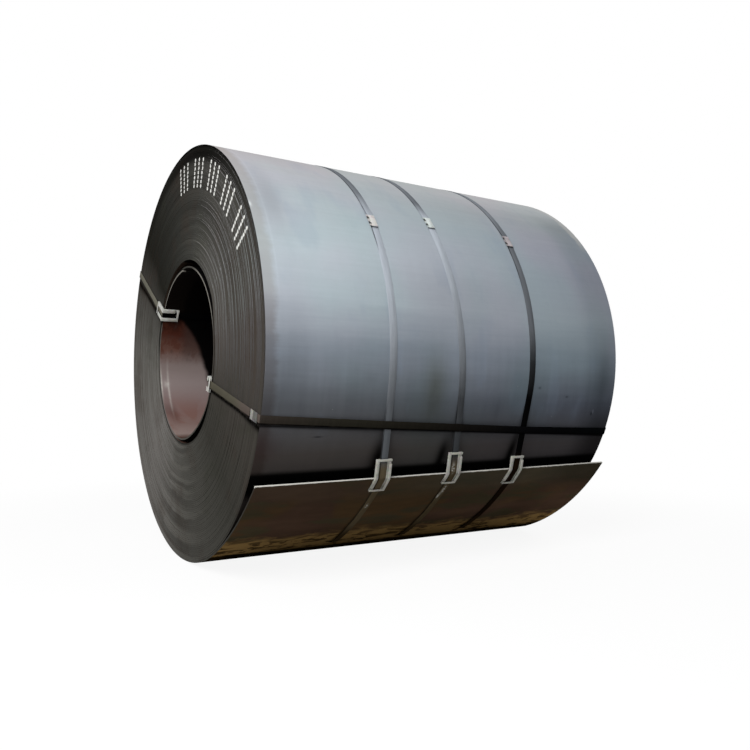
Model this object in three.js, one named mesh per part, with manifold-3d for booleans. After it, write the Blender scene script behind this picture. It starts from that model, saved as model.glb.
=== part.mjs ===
// Hot rolled steel coil lying on its round side, strapped for transport.
// Millimetres. X runs along the coil's axis, Z is up, the loose tail faces -Y.
import * as THREE from "three";
import { mergeVertices } from "three/addons/utils/BufferGeometryUtils.js";
import Module from "manifold-3d";

const wasm = await Module();
wasm.setup();

// Coil
const outerRadius = 918;
const coilWidth = 1806;
const boreRadius = 381;
const stripThickness = 8;
const facets = 72; // flat sides of the turned solid, one of them on the floor
const turnStep = 3; // how far neighbouring groups of turns stand in or out
const turnGroups = 12; // groups that show on each end
const turnGroove = 1; // opening between two groups
const landInner = 560; // flat ring on each end, where a plate can bear
const landOuter = 660;
const rimChamfer = 4;

// Inner turn that hangs loose, and the step where the strip begins
const looseGap = 19; // opening above the inner turn
const looseSide = 2; // and what is left of it at the turn's sides
const looseDepth = 260;
const looseRise = 13; // the inner turn is taller than it is wide by this much
const headAngle = 94;
const headArc = 78; // the step fades out over this angle, back the way the strip winds

// Loose tail of the strip
const tailEdgeAngle = -31.5;
const tailLift = 50; // gap between tail edge and body
const tailFlat = 86; // last stretch, straight under the protectors
const tailCurl = { touch: -62, power: 2 }; // where the tail leaves the body, and how it curls
const tailSag = { lift: 26, from: -84, to: -72 }; // its far side already hangs clear lower down
const tailStart = -90;
const tailRoot = 24; // the turn below rises to a full strip over this angle
const rootSink = 1; // and starts this deep in the body

// Straps
const strapThickness = 1;
const strapWidth = 34;
const clearance = 0.3;
const crossPlay = 0.4; // more room where an eye strap crosses a belly strap
const nearStrapX = -372; // belly straps, from the seal end of the coil to the plain end
const middleStrapX = -22;
const farStrapX = 328;
const middleWander = -50; // two of them were pulled tight a little out of line
const farWander = 29;
const sealAngle = 34.3;
const middleSealAngle = 37;
// slide: how far each one's protector was pushed up over the tail's edge
const bellyStraps = [
  { x: nearStrapX, seal: sealAngle, slide: 6 },
  { x: middleStrapX, seal: middleSealAngle, slide: 19, wander: { by: middleWander, from: -25, to: 45 } },
  { x: farStrapX, seal: sealAngle, slide: -12, wander: { by: farWander, from: -28, to: -8 } },
];
const wanderBack = 190; // and between these angles, at the back, they come home
const wanderHome = 260;

// Angles of each eye strap where it turns at the bore and at the rim of both ends
// slideNear, slideFar: how far each protector was pushed out onto the end face
const eyeSealInset = 50; // from the rim
const eyeStation = 150; // the strap's shape is worked out at least this often
const frontEye = {
  boreNear: -21.3, rimNear: -17.2, rimFar: -22.9, boreFar: -26.7,
  slideNear: -58, slideFar: 0, sealEnd: -1,
};
const backEye = {
  boreNear: 147.1, rimNear: 148.6, rimFar: 146.5, boreFar: 146.3,
  slideNear: 8, slideFar: 0, sealEnd: 1,
};

// Seals: pressed caps over the strap overlap
const sealLength = 62;
const sealWall = 1.2;
const sealBed = sealLength / 2 + 4; // the strap lies straight this far to each side of a seal
const crimpRadius = 5;
const crimpDepth = 1;
const crimpPlace = 0.22; // share of the seal's length, from its middle

// Edge protectors: bent plates, their sides folded over into lips, with a hooked finger at each end
// length: both legs together; lip: how much of the width each side's fold covers
const tailGuard = { width: 72, length: 146, lip: 12.5 };
const boreGuard = { width: 62, length: 164, lip: 18 };
const guardBase = 1.5;
const foldWall = 3; // upright part of each fold
const guardFinger = 10;
const fingerPlate = 1.6;
const threadGap = 10; // opening between a finger and the opposite lip, for threading the strap
const channelPlay = 3.6; // room over a strap under the lips
const guardPlay = 1.6; // the bore isn't quite round, so a guard rocks by this much
const guardLean = 0.6; // a bore protector follows this share of its strap's lean on the end face
const foldLap = 0.2; // how deep folds sink into the plate they are one piece with

const deg = Math.PI / 180;
const radial = (angle) => new THREE.Vector2(-Math.cos(angle * deg), Math.sin(angle * deg));
const smooth = (t) => THREE.MathUtils.smoothstep(t, 0, 1);
const strapRoom = strapThickness + channelPlay; // height of a protector's channel
const guardSeat = clearance + guardBase; // from the steel to a guard's outside
const cutterOver = 10; // how far a cutter runs past the steel

// Solids
function solidOf(geometry) {
  const bare = new THREE.BufferGeometry();
  const loose = geometry.index ? geometry.toNonIndexed() : geometry;
  bare.setAttribute("position", loose.getAttribute("position"));
  const merged = mergeVertices(bare, 1e-3);
  return new wasm.Manifold(
    new wasm.Mesh({
      numProp: 3,
      vertProperties: merged.attributes.position.array,
      triVerts: new Uint32Array(merged.index.array),
    }),
  );
}

function geometryOf(solid) {
  const { vertProperties, triVerts } = solid.getMesh();
  const geometry = new THREE.BufferGeometry();
  geometry.setAttribute("position", new THREE.BufferAttribute(vertProperties, 3));
  geometry.setIndex(new THREE.BufferAttribute(triVerts, 1));
  return geometry;
}

function extrude(points, depth) {
  return new THREE.ExtrudeGeometry(new THREE.Shape(points), { depth, bevelEnabled: false });
}

function reshape(geometry, place) {
  const at = geometry.getAttribute("position");
  const v = new THREE.Vector3();
  for (let i = 0; i < at.count; i++) {
    place(v.fromBufferAttribute(at, i));
    at.setXYZ(i, v.x, v.y, v.z);
  }
  return geometry;
}

// A section drawn in the (Y, Z) plane and extruded along X
function alongX(points, x0, length) {
  return extrude(points, length).applyMatrix4(
    new THREE.Matrix4().makeBasis(
      new THREE.Vector3(0, 1, 0), new THREE.Vector3(0, 0, 1), new THREE.Vector3(1, 0, 0),
    ).setPosition(x0, 0, 0),
  );
}

function arcPoints(radius, from, to, steps, centre = new THREE.Vector2()) {
  return Array.from({ length: steps + 1 }, (_, i) =>
    radial(from + ((to - from) * i) / steps).multiplyScalar(radius).add(centre),
  );
}

// Convex outline round a set of points, the way a taut band lies
function hullOf(points) {
  const sorted = [...points].sort((a, b) => a.x - b.x || a.y - b.y);
  const half = (list) => {
    const chain = [];
    for (const p of list) {
      while (chain.length > 1) {
        const [a, b] = chain.slice(-2);
        if ((b.x - a.x) * (p.y - a.y) - (b.y - a.y) * (p.x - a.x) > 1e-6) break;
        chain.pop();
      }
      chain.push(p);
    }
    return chain.slice(0, -1);
  };
  return [...half(sorted), ...half(sorted.reverse())];
}

// A closed convex outline moved outwards by a distance
function offsetLoop(loop, distance) {
  return loop.map((p, i) => {
    const before = loop[(i + loop.length - 1) % loop.length];
    const after = loop[(i + 1) % loop.length];
    const a = p.clone().sub(before).normalize();
    const b = after.clone().sub(p).normalize();
    const out = new THREE.Vector2(a.y + b.y, -a.x - b.x);
    return p.clone().addScaledVector(out, distance / (1 + a.dot(b)));
  });
}

// Coil body: one turned solid with stepped ends
function endProfile(side) {
  const x = (side * coilWidth) / 2;
  const inner = boreRadius + looseGap + 3 * stripThickness;
  const points = [[boreRadius, x], [inner, x]];
  const steps = (from, to, count) => {
    const pitch = (to - from) / count;
    for (let i = 0; i < count; i++) {
      const depth = i % 2 ? turnStep * (0.6 + 0.4 * Math.cos(2.4 * i)) : 0;
      const flat = x - side * depth;
      points.push([from + i * pitch, flat], [from + (i + 1) * pitch - turnGroove, flat]);
    }
  };
  const inside = landInner - inner;
  const share = Math.round((turnGroups * inside) / (inside + outerRadius - landOuter));
  steps(inner + turnGroove, landInner, share);
  points.push([landInner, x], [landOuter, x]);
  steps(landOuter + turnGroove, outerRadius - rimChamfer, turnGroups - share);
  points.push([outerRadius - rimChamfer, x], [outerRadius, x - side * rimChamfer]);
  return points.filter((p, i) => !i || Math.hypot(p[0] - points[i - 1][0], p[1] - points[i - 1][1]) > 0.01);
}

function turnedBody() {
  const near = endProfile(-1);
  const far = endProfile(1);
  const loop = [...near, ...far.reverse(), near[0]];
  const geometry = new THREE.LatheGeometry(
    loop.map(([r, x]) => new THREE.Vector2(r, x)), facets, Math.PI / facets,
  );
  // the lathe turns about Y: lay it down along X
  return geometry.rotateZ(-Math.PI / 2);
}

// Tail of the outer turn, which springs clear of the body
const tailStations = 11;
function tailRadius(angle, x) {
  const across = THREE.MathUtils.clamp(x / coilWidth + 0.5, 0, 1);
  const sag = tailSag.lift * across;
  const open = Math.max(0, (angle - tailCurl.touch) / (tailEdgeAngle - tailCurl.touch));
  const lap = smooth((angle - tailStart) / tailRoot);
  const hang = sag * smooth((angle - tailSag.from) / (tailSag.to - tailSag.from));
  const seated = outerRadius - rootSink + (stripThickness + rootSink) * lap;
  return seated + hang + (tailLift - sag) * open ** tailCurl.power;
}
const flatAngle = tailFlat / (outerRadius + tailLift) / deg;
const tailAngles = [
  ...Array.from({ length: tailStations }, (_, i) =>
    tailStart + ((tailEdgeAngle - flatAngle - tailStart) * i) / (tailStations - 1)),
  tailEdgeAngle,
];
const tailPoint = (angle, x, lift = 0) => radial(angle).multiplyScalar(tailRadius(angle, x) + lift);

function tailSheet() {
  const sheet = new THREE.BoxGeometry(coilWidth, tailStations, 1, 6, tailStations, 1);
  return reshape(sheet, (v) => {
    const angle = tailAngles[Math.round(v.y + tailStations / 2)];
    const p = tailPoint(angle, v.x, v.z > 0 ? 0 : -stripThickness);
    v.set(v.x, p.x, p.y);
  });
}

// Gap over the loose inner turn, cut in from each end
function looseGapCut(side) {
  const turnOuter = boreRadius + looseRise / 2 + stripThickness;
  const gapCentre = new THREE.Vector2(0, looseRise / 2 + looseGap);
  const around = arcPoints(turnOuter + looseSide, 0, 360, 60, gapCentre);
  const core = arcPoints(turnOuter, 0, 360, 60, new THREE.Vector2(0, looseRise / 2));
  const x0 = side < 0 ? -coilWidth / 2 - cutterOver : coilWidth / 2 - looseDepth;
  const length = looseDepth + cutterOver;
  const crescent = solidOf(alongX(around.slice(1).reverse(), x0, length));
  const plug = alongX(core.slice(1).reverse(), x0 - cutterOver, length + 2 * cutterOver);
  return crescent.subtract(solidOf(plug));
}

// The bore is opened upwards a little, and deepened where the strip's head end stops
const headFade = (angle) => {
  const t = (headAngle - angle) / headArc;
  return t < 0 || t > 1 ? 0 : stripThickness * (1 - t);
};

function boreAt(angle) {
  const rise = looseRise / 2;
  const across = rise * Math.cos(angle * deg);
  const round = rise * Math.sin(angle * deg) + Math.sqrt((boreRadius + rise) ** 2 - across ** 2);
  return round + headFade(angle);
}

// A flat guard touches the hollow bore at its two edges
const guardBore = (angle) =>
  Math.sqrt(boreAt(angle) ** 2 - (boreGuard.width / 2) ** 2) - guardPlay;

function boreCut() {
  const lifted = arcPoints(boreRadius + looseRise / 2, 0, 360, 72, new THREE.Vector2(0, looseRise / 2));
  const tall = solidOf(alongX(lifted.slice(1).reverse(), -coilWidth, 2 * coilWidth));
  const steps = 12;
  const step = Array.from({ length: steps + 1 }, (_, i) => {
    const angle = headAngle - (headArc * i) / steps;
    return radial(angle).multiplyScalar(boreAt(angle));
  });
  step.push(new THREE.Vector2(0, 0));
  return tall.add(solidOf(alongX(step, -coilWidth, 2 * coilWidth)));
}

function coilSolid() {
  return solidOf(turnedBody())
    .add(solidOf(tailSheet()))
    .subtract(boreCut())
    .subtract(looseGapCut(-1))
    .subtract(looseGapCut(1));
}

// Belly straps: taut bands round the body, the tail and its protector
const bodyOutline = arcPoints(outerRadius, 180 / facets, 360 + 180 / facets, facets).slice(1);

function bellyCore({ x, seal, slide }) {
  const points = [...bodyOutline];
  for (const edge of [x - tailGuard.width / 2, x + tailGuard.width / 2])
    for (const angle of tailAngles.slice(1, -1)) points.push(tailPoint(angle, edge));
  const { corner, low, normal } = tailCorner(x);
  for (const along of [0, tailGuard.length / 2 - slide])
    points.push(corner.clone().addScaledVector(low, along).addScaledVector(normal, guardSeat));
  const bed = sealBed / outerRadius / deg;
  for (const angle of [seal - bed, seal + bed])
    points.push(radial(angle).multiplyScalar(outerRadius / Math.cos(bed * deg) + clearance));
  return hullOf(points);
}

// Where the tail's edge meets a protector: corner, direction down the tail, outward normal
function tailCorner(x) {
  const half = tailGuard.width / 2;
  const widest = (angle) =>
    radial(angle).multiplyScalar(Math.max(tailRadius(angle, x - half), tailRadius(angle, x + half)));
  const corner = widest(tailEdgeAngle);
  const low = widest(tailAngles.at(-2)).sub(corner).normalize();
  const normal = new THREE.Vector2(low.y, -low.x);
  if (normal.dot(corner) < 0) normal.negate();
  return { corner, low, normal };
}

function drift({ wander }, angle) {
  if (!wander) return 0;
  const turn = ((angle + 90 + 720) % 360) - 90;
  const up = smooth((turn - wander.from) / (wander.to - wander.from));
  const down = smooth((turn - wanderBack) / (wanderHome - wanderBack));
  return wander.by * (up - down);
}
const angleOf = (y, z) => Math.atan2(z, -y) / deg;

// A closed flat band between two matching outlines: a thin ring, reshaped to follow them
function band(inner, outer, width) {
  const count = inner.length;
  const corners = [[1, -0.5], [2, -0.5], [2, 0.5], [1, 0.5], [1, -0.5]];
  const ring = new THREE.LatheGeometry(corners.map(([r, w]) => new THREE.Vector2(r, w)), count);
  return reshape(ring, (v) => {
    const i = Math.round((Math.atan2(v.x, v.z) / (2 * Math.PI)) * count + count) % count;
    const p = (Math.hypot(v.x, v.z) > 1.5 ? outer : inner)[i];
    v.set(p.x, p.y, v.y * width);
  });
}

function bellyStrap(strap) {
  const inner = offsetLoop(bellyCore(strap), clearance);
  const outer = offsetLoop(inner, strapThickness);
  return reshape(band(inner, outer, strapWidth), (v) =>
    v.set(v.z + strap.x + drift(strap, angleOf(v.x, v.y)), v.x, v.y));
}

// Eye straps: through the bore and over the outside
function bellyHeight(strap, angle) {
  const loop = offsetLoop(bellyCore(strap), clearance + strapThickness);
  const out = radial(angle);
  let best = 0;
  loop.forEach((a, i) => {
    const b = loop[(i + 1) % loop.length];
    const cross = (p, q) => p.x * q.y - p.y * q.x;
    const edge = b.clone().sub(a);
    const s = cross(a, edge) / cross(out, edge);
    const t = cross(a, out) / cross(out, edge);
    if (s > 0 && t >= -1e-9 && t <= 1 + 1e-9) best = Math.max(best, s);
  });
  return best;
}

const halfWidth = coilWidth / 2;
const rimAngle = (eye, x) => THREE.MathUtils.lerp(eye.rimNear, eye.rimFar, x / coilWidth + 0.5);

// Where a bore protector sits: it turns part of the way towards the strap's line on the end face
function boreSeat(eye, side) {
  const angle = side < 0 ? eye.boreNear : eye.boreFar;
  const rim = side < 0 ? eye.rimNear : eye.rimFar;
  const slide = side < 0 ? eye.slideNear : eye.slideFar;
  const run = radial(rim).multiplyScalar(outerRadius).sub(radial(angle).multiplyScalar(boreRadius));
  const lean = angleOf(run.x, run.y) - angle;
  const turn = ((lean + 540) % 360 - 180) * guardLean;
  const tilt = Math.sin(Math.abs(turn) * deg);
  const r = guardBore(angle) - (boreGuard.width / 2) * tilt;
  const dip = (strapWidth / 2 + clearance) * tilt + clearance / 2; // the strap itself doesn't turn
  const [onFace, inBore] = legsOf(boreGuard, slide);
  return { angle, r, dip, slide, onFace, inBore, facing: radial(angle + turn) };
}

// Lengths of a protector's two legs: the one it was pushed towards, and the other
function legsOf({ length }, slide) {
  return [length / 2 + slide, length / 2 - slide];
}

// Loop in the (x, r) plane that the strap's inner face follows
function eyeLoop(eye) {
  const top = bellyStraps.map((strap) => {
    const x = strap.x + drift(strap, rimAngle(eye, strap.x));
    const half = strapWidth / 2 / outerRadius / deg;
    const angle = rimAngle(eye, x);
    const high = Math.max(...[-half, 0, half].map((d) => bellyHeight(strap, angle + d))) + crossPlay;
    return [new THREE.Vector2(x - strapWidth / 2, high), new THREE.Vector2(x + strapWidth / 2, high)];
  }).flat();
  const corners = [-1, 1].flatMap((side) => {
    const { r, dip, onFace, inBore } = boreSeat(eye, side);
    const face = side * (halfWidth + guardSeat);
    return [
      new THREE.Vector2(face, r - guardSeat - dip),
      new THREE.Vector2(face, r + onFace),
      new THREE.Vector2(side * (halfWidth - inBore), r - guardSeat - dip),
      new THREE.Vector2(side * halfWidth, outerRadius),
    ];
  });
  return hullOf([...corners, ...top]);
}

// Where a point of that loop lies: on each end face the strap runs straight from bore to rim
function onEye(eye, x, r, w) {
  const across = THREE.MathUtils.clamp(x / coilWidth + 0.5, 0, 1);
  const atBore = radial(THREE.MathUtils.lerp(eye.boreNear, eye.boreFar, across));
  const atRim = radial(THREE.MathUtils.lerp(eye.rimNear, eye.rimFar, across));
  let centre;
  if (r <= boreRadius) centre = atBore.multiplyScalar(r);
  else if (r >= outerRadius) centre = atRim.multiplyScalar(r);
  else
    centre = atBore.multiplyScalar(boreRadius)
      .lerp(atRim.multiplyScalar(outerRadius), (r - boreRadius) / (outerRadius - boreRadius));
  const out = centre.clone().normalize();
  return new THREE.Vector3(x, centre.x - out.y * w, centre.y + out.x * w);
}

// The same outline with points no further apart than a step, on both loops alike
function divided(loop, like, step) {
  return loop.flatMap((p, i) => {
    const next = (i + 1) % loop.length;
    const count = Math.ceil(like[i].distanceTo(like[next]) / step);
    return Array.from({ length: count }, (_, k) => p.clone().lerp(loop[next], k / count));
  });
}

function eyeStrap(eye) {
  const inner = offsetLoop(eyeLoop(eye), clearance);
  const outer = offsetLoop(inner, strapThickness);
  const strip = band(divided(inner, inner, eyeStation), divided(outer, inner, eyeStation), strapWidth);
  return reshape(strip, (v) => v.copy(onEye(eye, v.x, v.y, v.z)));
}

// A frame whose columns are the in-plane axes and the width direction
function frameAt(origin, e1, e2) {
  return new THREE.Matrix4().makeBasis(e1, e2, new THREE.Vector3().crossVectors(e1, e2)).setPosition(origin);
}

// Seal: a cap over the strap with crimped sides, drawn on its foot with +Y out of the steel
function sealSolid() {
  const half = strapWidth / 2 + clearance;
  const high = strapThickness + 2 * clearance;
  const section = [
    [-half - sealWall, 0], [-half, 0], [-half, high], [half, high], [half, 0], [half + sealWall, 0],
    [half + sealWall, high + sealWall], [-half - sealWall, high + sealWall],
  ].map(([x, y]) => new THREE.Vector2(x, y));
  let cap = solidOf(extrude(section, sealLength).translate(0, 0, -sealLength / 2));
  for (const side of [-1, 1])
    for (const along of [-crimpPlace, crimpPlace]) {
      const bite = new THREE.CylinderGeometry(crimpRadius, crimpRadius, 4 * high, 12);
      bite.translate(side * (half + sealWall + crimpRadius - crimpDepth), 0, along * sealLength);
      cap = cap.subtract(solidOf(bite));
    }
  return cap;
}

function bellySeal(strap) {
  const bed = sealBed / outerRadius / deg;
  const on = (angle) => {
    const p = radial(angle).multiplyScalar(bellyHeight(strap, angle) - strapThickness - clearance);
    return new THREE.Vector3(strap.x + drift(strap, angle), p.x, p.y);
  };
  const [below, above] = [on(strap.seal - bed), on(strap.seal + bed)];
  const along = above.clone().sub(below).normalize();
  const out = radial(strap.seal);
  const e2 = new THREE.Vector3(0, out.x, out.y);
  const e1 = new THREE.Vector3().crossVectors(e2, along);
  const foot = below.lerp(above, 0.5);
  return sealSolid().transform(frameAt(foot, e1, e2).elements);
}

function eyeSeal(eye) {
  const side = eye.sealEnd;
  const rim = new THREE.Vector2(side * halfWidth, outerRadius);
  const { r, onFace } = boreSeat(eye, side);
  const guardEnd = new THREE.Vector2(side * (halfWidth + guardSeat), r + onFace);
  const a = onEye(eye, guardEnd.x, guardEnd.y, 0);
  const b = onEye(eye, rim.x, rim.y, 0);
  const along = b.clone().sub(a).normalize();
  const e2 = new THREE.Vector3(side, 0, 0);
  const e1 = new THREE.Vector3().crossVectors(e2, along);
  const foot = b.lerp(a, eyeSealInset / a.distanceTo(b));
  return sealSolid().transform(frameAt(foot, e1, e2).elements);
}

// Edge protector in its own plane: two legs that meet at a corner on the steel
function bentSection(a, b, legA, legB, near, far) {
  const out = (d, other) => {
    const n = new THREE.Vector2(d.y, -d.x);
    return n.dot(other) > 0 ? n.negate() : n;
  };
  const na = out(a, b);
  const nb = out(b, a);
  const mitre = na.clone().add(nb).divideScalar(1 + na.dot(nb));
  const at = (d, n, s, h) => new THREE.Vector2().addScaledVector(d, s).addScaledVector(n, h);
  return [
    at(a, na, legA, near), mitre.clone().multiplyScalar(near), at(b, nb, legB, near),
    at(b, nb, legB, far), mitre.clone().multiplyScalar(far), at(a, na, legA, far),
  ];
}

function barSection(d, other, from, to, near, far) {
  const n = new THREE.Vector2(d.y, -d.x);
  if (n.dot(other) > 0) n.negate();
  return [[from, near], [to, near], [to, far], [from, far]].map(([s, h]) =>
    new THREE.Vector2().addScaledVector(d, s).addScaledVector(n, h));
}

// Legs along a and b. Each end has a finger that reaches over the channel from one fold,
// past where the other fold stops.
function protector(guard, slide, a, b, matrix) {
  const half = guard.width / 2;
  const [legA, legB] = legsOf(guard, slide);
  const lipFoot = guardSeat + strapRoom;
  const lipTop = lipFoot + fingerPlate;
  const mouth = guardFinger + threadGap;
  const slab = (section, z0, z1) => {
    const shape = THREE.ShapeUtils.isClockWise(section) ? [...section].reverse() : section;
    return solidOf(extrude(shape, z1 - z0).translate(0, 0, z0));
  };
  const wall = (toA, toB) => bentSection(a, b, toA, toB, guardSeat - foldLap, lipTop);
  const lip = (toA, toB) => bentSection(a, b, toA, toB, lipFoot, lipTop);
  return [
    slab(bentSection(a, b, legA, legB, clearance, guardSeat), -half, half),
    slab(wall(legA, legB - mouth), -half, foldWall - half),
    slab(lip(legA, legB - mouth), -half, guard.lip - half),
    slab(wall(legA - mouth, legB), half - foldWall, half),
    slab(lip(legA - mouth, legB), half - guard.lip, half),
    slab(barSection(a, b, legA - guardFinger, legA, lipFoot, lipTop), -half, half),
    slab(barSection(b, a, legB - guardFinger, legB, lipFoot, lipTop), -half, half),
  ].reduce((one, next) => one.add(next)).transform(matrix.elements);
}

function tailProtector(strap) {
  const x = strap.x + drift(strap, tailEdgeAngle);
  const { corner, low, normal } = tailCorner(strap.x);
  const core = bellyCore(strap);
  const seat = corner.clone().addScaledVector(normal, guardSeat);
  const at = core.reduce((best, p, i) => (p.distanceTo(seat) < core[best].distanceTo(seat) ? i : best), 0);
  const sides = [core[(at + 1) % core.length], core[(at + core.length - 1) % core.length]];
  const next = sides[0].y > sides[1].y ? sides[0] : sides[1];
  const up = next.clone().sub(core[at]).normalize();
  return protector(tailGuard, strap.slide, up, low, alongMatrix(x, corner));
}

function alongMatrix(x, corner) {
  return new THREE.Matrix4().makeBasis(
    new THREE.Vector3(0, 1, 0), new THREE.Vector3(0, 0, 1), new THREE.Vector3(1, 0, 0),
  ).setPosition(x, corner.x, corner.y);
}

function boreProtector(eye, side) {
  const { angle, r, facing, slide } = boreSeat(eye, side);
  const corner = radial(angle).multiplyScalar(r);
  const e1 = new THREE.Vector3(0, facing.x, facing.y);
  const e2 = new THREE.Vector3(-side, 0, 0);
  const origin = new THREE.Vector3(side * halfWidth, corner.x, corner.y);
  const [outward, inward] = [new THREE.Vector2(1, 0), new THREE.Vector2(0, 1)];
  return protector(boreGuard, slide, outward, inward, frameAt(origin, e1, e2));
}

// Scene
const steel = { color: 0x60646a, roughness: 0.55, metalness: 0.85 };
const strapSteel = { color: 0x39404a, roughness: 0.5, metalness: 0.8 };
const galvanised = { color: 0xb8b6b2, roughness: 0.45, metalness: 0.85 };

const object = new THREE.Group();
object.name = "steel_coil";
const lowest = Math.max(...bellyStraps.map((s) => bellyHeight(s, -90)));
const axisHeight = lowest;

function place(name, shape, look) {
  const geometry = shape instanceof THREE.BufferGeometry ? geometryOf(solidOf(shape)) : geometryOf(shape);
  const mesh = new THREE.Mesh(geometry, new THREE.MeshStandardMaterial(look));
  mesh.name = name;
  mesh.position.z = axisHeight;
  object.add(mesh);
}

place("coil", coilSolid(), steel);
bellyStraps.forEach((strap, i) => {
  place(`belly_strap_${i + 1}`, bellyStrap(strap), strapSteel);
  place(`belly_seal_${i + 1}`, bellySeal(strap), galvanised);
  place(`tail_protector_${i + 1}`, tailProtector(strap), galvanised);
});
for (const [side, eye] of [["front", frontEye], ["back", backEye]]) {
  place(`eye_strap_${side}`, eyeStrap(eye), strapSteel);
  place(`bore_protector_${side}_near`, boreProtector(eye, -1), galvanised);
  place(`bore_protector_${side}_far`, boreProtector(eye, 1), galvanised);
  place(`eye_seal_${side}`, eyeSeal(eye), galvanised);
}

export default object;
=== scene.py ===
import math

import bmesh
import bpy
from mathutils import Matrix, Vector


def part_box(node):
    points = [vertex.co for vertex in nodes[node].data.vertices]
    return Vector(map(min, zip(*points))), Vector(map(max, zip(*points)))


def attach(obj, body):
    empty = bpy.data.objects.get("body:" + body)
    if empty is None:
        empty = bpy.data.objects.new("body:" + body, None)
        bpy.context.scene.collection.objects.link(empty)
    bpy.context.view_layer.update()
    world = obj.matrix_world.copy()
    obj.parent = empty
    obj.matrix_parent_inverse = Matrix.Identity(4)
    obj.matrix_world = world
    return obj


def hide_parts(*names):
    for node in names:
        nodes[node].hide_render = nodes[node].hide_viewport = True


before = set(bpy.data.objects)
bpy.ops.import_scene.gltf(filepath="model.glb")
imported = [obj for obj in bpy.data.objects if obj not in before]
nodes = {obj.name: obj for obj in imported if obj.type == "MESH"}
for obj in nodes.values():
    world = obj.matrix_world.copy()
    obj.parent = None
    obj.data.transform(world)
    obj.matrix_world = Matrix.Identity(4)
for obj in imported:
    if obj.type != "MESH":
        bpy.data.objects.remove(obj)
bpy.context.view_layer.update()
coilLow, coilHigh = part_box("coil")
axisHeight = (coilLow.z + coilHigh.z) / 2  # the coil's axis runs along X at this height
endPlane = coilHigh.x  # half the coil's width; the near end is the one at -x
bpy.context.scene.view_settings.view_transform = "Standard"
print("frame loaded, axis at", round(axisHeight, 4), "m")


# node trees
def operator(operation, swapped=False):
    def apply(self, other):
        values = (other, self) if swapped else (self, other)
        return self.graph.maths(operation, *values)
    return apply


class Wire:  # a socket that Python sums can use
    __add__ = __radd__ = operator("ADD")
    __mul__ = __rmul__ = operator("MULTIPLY")
    __sub__ = operator("SUBTRACT")
    __rsub__ = operator("SUBTRACT", swapped=True)
    __truediv__ = operator("DIVIDE")
    __rtruediv__ = operator("DIVIDE", swapped=True)
    __pow__ = operator("POWER")
    __lt__ = operator("LESS_THAN")
    __gt__ = operator("GREATER_THAN")

    def __init__(self, graph, socket):
        self.graph = graph
        self.socket = socket

    def also(self, name):
        return Wire(self.graph, self.socket.node.outputs[name])


class Graph:  # makes the nodes of one tree
    def __init__(self, tree):
        self.tree = tree
        tree.nodes.clear()

    def make(self, kind, settings=None, sockets=None, output=0):
        node = self.tree.nodes.new(kind)
        for name, value in (settings or {}).items():
            if name == "stops":
                fillRamp(node.color_ramp, value)
            else:
                setattr(node, name, value)
        for name, value in (sockets or {}).items():
            if isinstance(value, Wire):
                self.tree.links.new(value.socket, node.inputs[name])
            else:
                node.inputs[name].default_value = value
        return Wire(self, node.outputs[output]) if node.outputs else node

    def maths(self, operation, *values):
        return self.make("ShaderNodeMath", {"operation": operation}, dict(enumerate(values)))

    def vectors(self, operation, *values, output=0):
        return self.make("ShaderNodeVectorMath", {"operation": operation}, dict(enumerate(values)), output)

    def vector(self, x, y, z):
        return self.make("ShaderNodeCombineXYZ", None, {0: x, 1: y, 2: z})

    def remap(self, value, low, high, start=0.0, end=1.0, kind="SMOOTHSTEP"):
        sockets = {"Value": value, "From Min": low, "From Max": high, "To Min": start, "To Max": end}
        return self.make("ShaderNodeMapRange", {"interpolation_type": kind}, sockets)

    def mix(self, factor, a, b, blend="MIX"):
        settings = {"data_type": "RGBA", "blend_type": blend}
        return self.make("ShaderNodeMix", settings, {0: factor, 6: a, 7: b}, 2)

    def blend(self, factor, a, b):
        return a + (b - a) * factor

    def scaled(self, colour, level):
        return self.make("ShaderNodeVectorMath", {"operation": "SCALE"}, {0: colour, "Scale": level})

    def darker(self, colour, share):
        return self.scaled(colour, 1.0 - share)

    def ramp(self, value, low, high, colours):  # colours evenly spread from low to high
        spots = [(index / (len(colours) - 1), colour) for index, colour in enumerate(colours)]
        place = self.remap(value, low, high, kind="LINEAR")
        return self.make("ShaderNodeValToRGB", {"stops": spots}, {0: place})

    def attribute(self, name):
        return self.make("ShaderNodeAttribute", {"attribute_name": name}, output="Fac")

    def noise(self, place, scale, detail=3.0, roughness=0.55, distortion=0.0, stretch=None):
        if stretch:  # the pattern is longer where this is smaller
            place = self.vectors("MULTIPLY", place, stretch)
        sockets = {"Vector": place, "Scale": scale, "Detail": detail,
                   "Roughness": roughness, "Distortion": distortion}
        return self.make("ShaderNodeTexNoise", None, sockets)

    def rings(self, along, scale, detail=2.0, roughness=0.6):
        sockets = {"W": along, "Scale": scale, "Detail": detail, "Roughness": roughness}
        return self.make("ShaderNodeTexNoise", {"noise_dimensions": "1D"}, sockets)

    def bell(self, value, centre, spread):  # a soft bump round an angle in degrees, or a length
        off = self.maths("WRAP", value - centre, 180.0, -180.0) / spread
        return self.maths("EXPONENT", off * off * -1.0)


def fillRamp(ramp, stops):
    while len(ramp.elements) < len(stops):
        ramp.elements.new(0.5)
    for element, (position, colour) in zip(ramp.elements, stops):
        element.position = position
        element.color = colour


def paint(red, green, blue):  # a screen colour, 0 to 255, as the shader's linear colour
    def linear(value):
        share = value / 255
        return share / 12.92 if share <= 0.04045 else ((share + 0.055) / 1.055) ** 2.4
    return (linear(red), linear(green), linear(blue), 1.0)


def paints(*tones):
    return [paint(*tone) for tone in tones]


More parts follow.
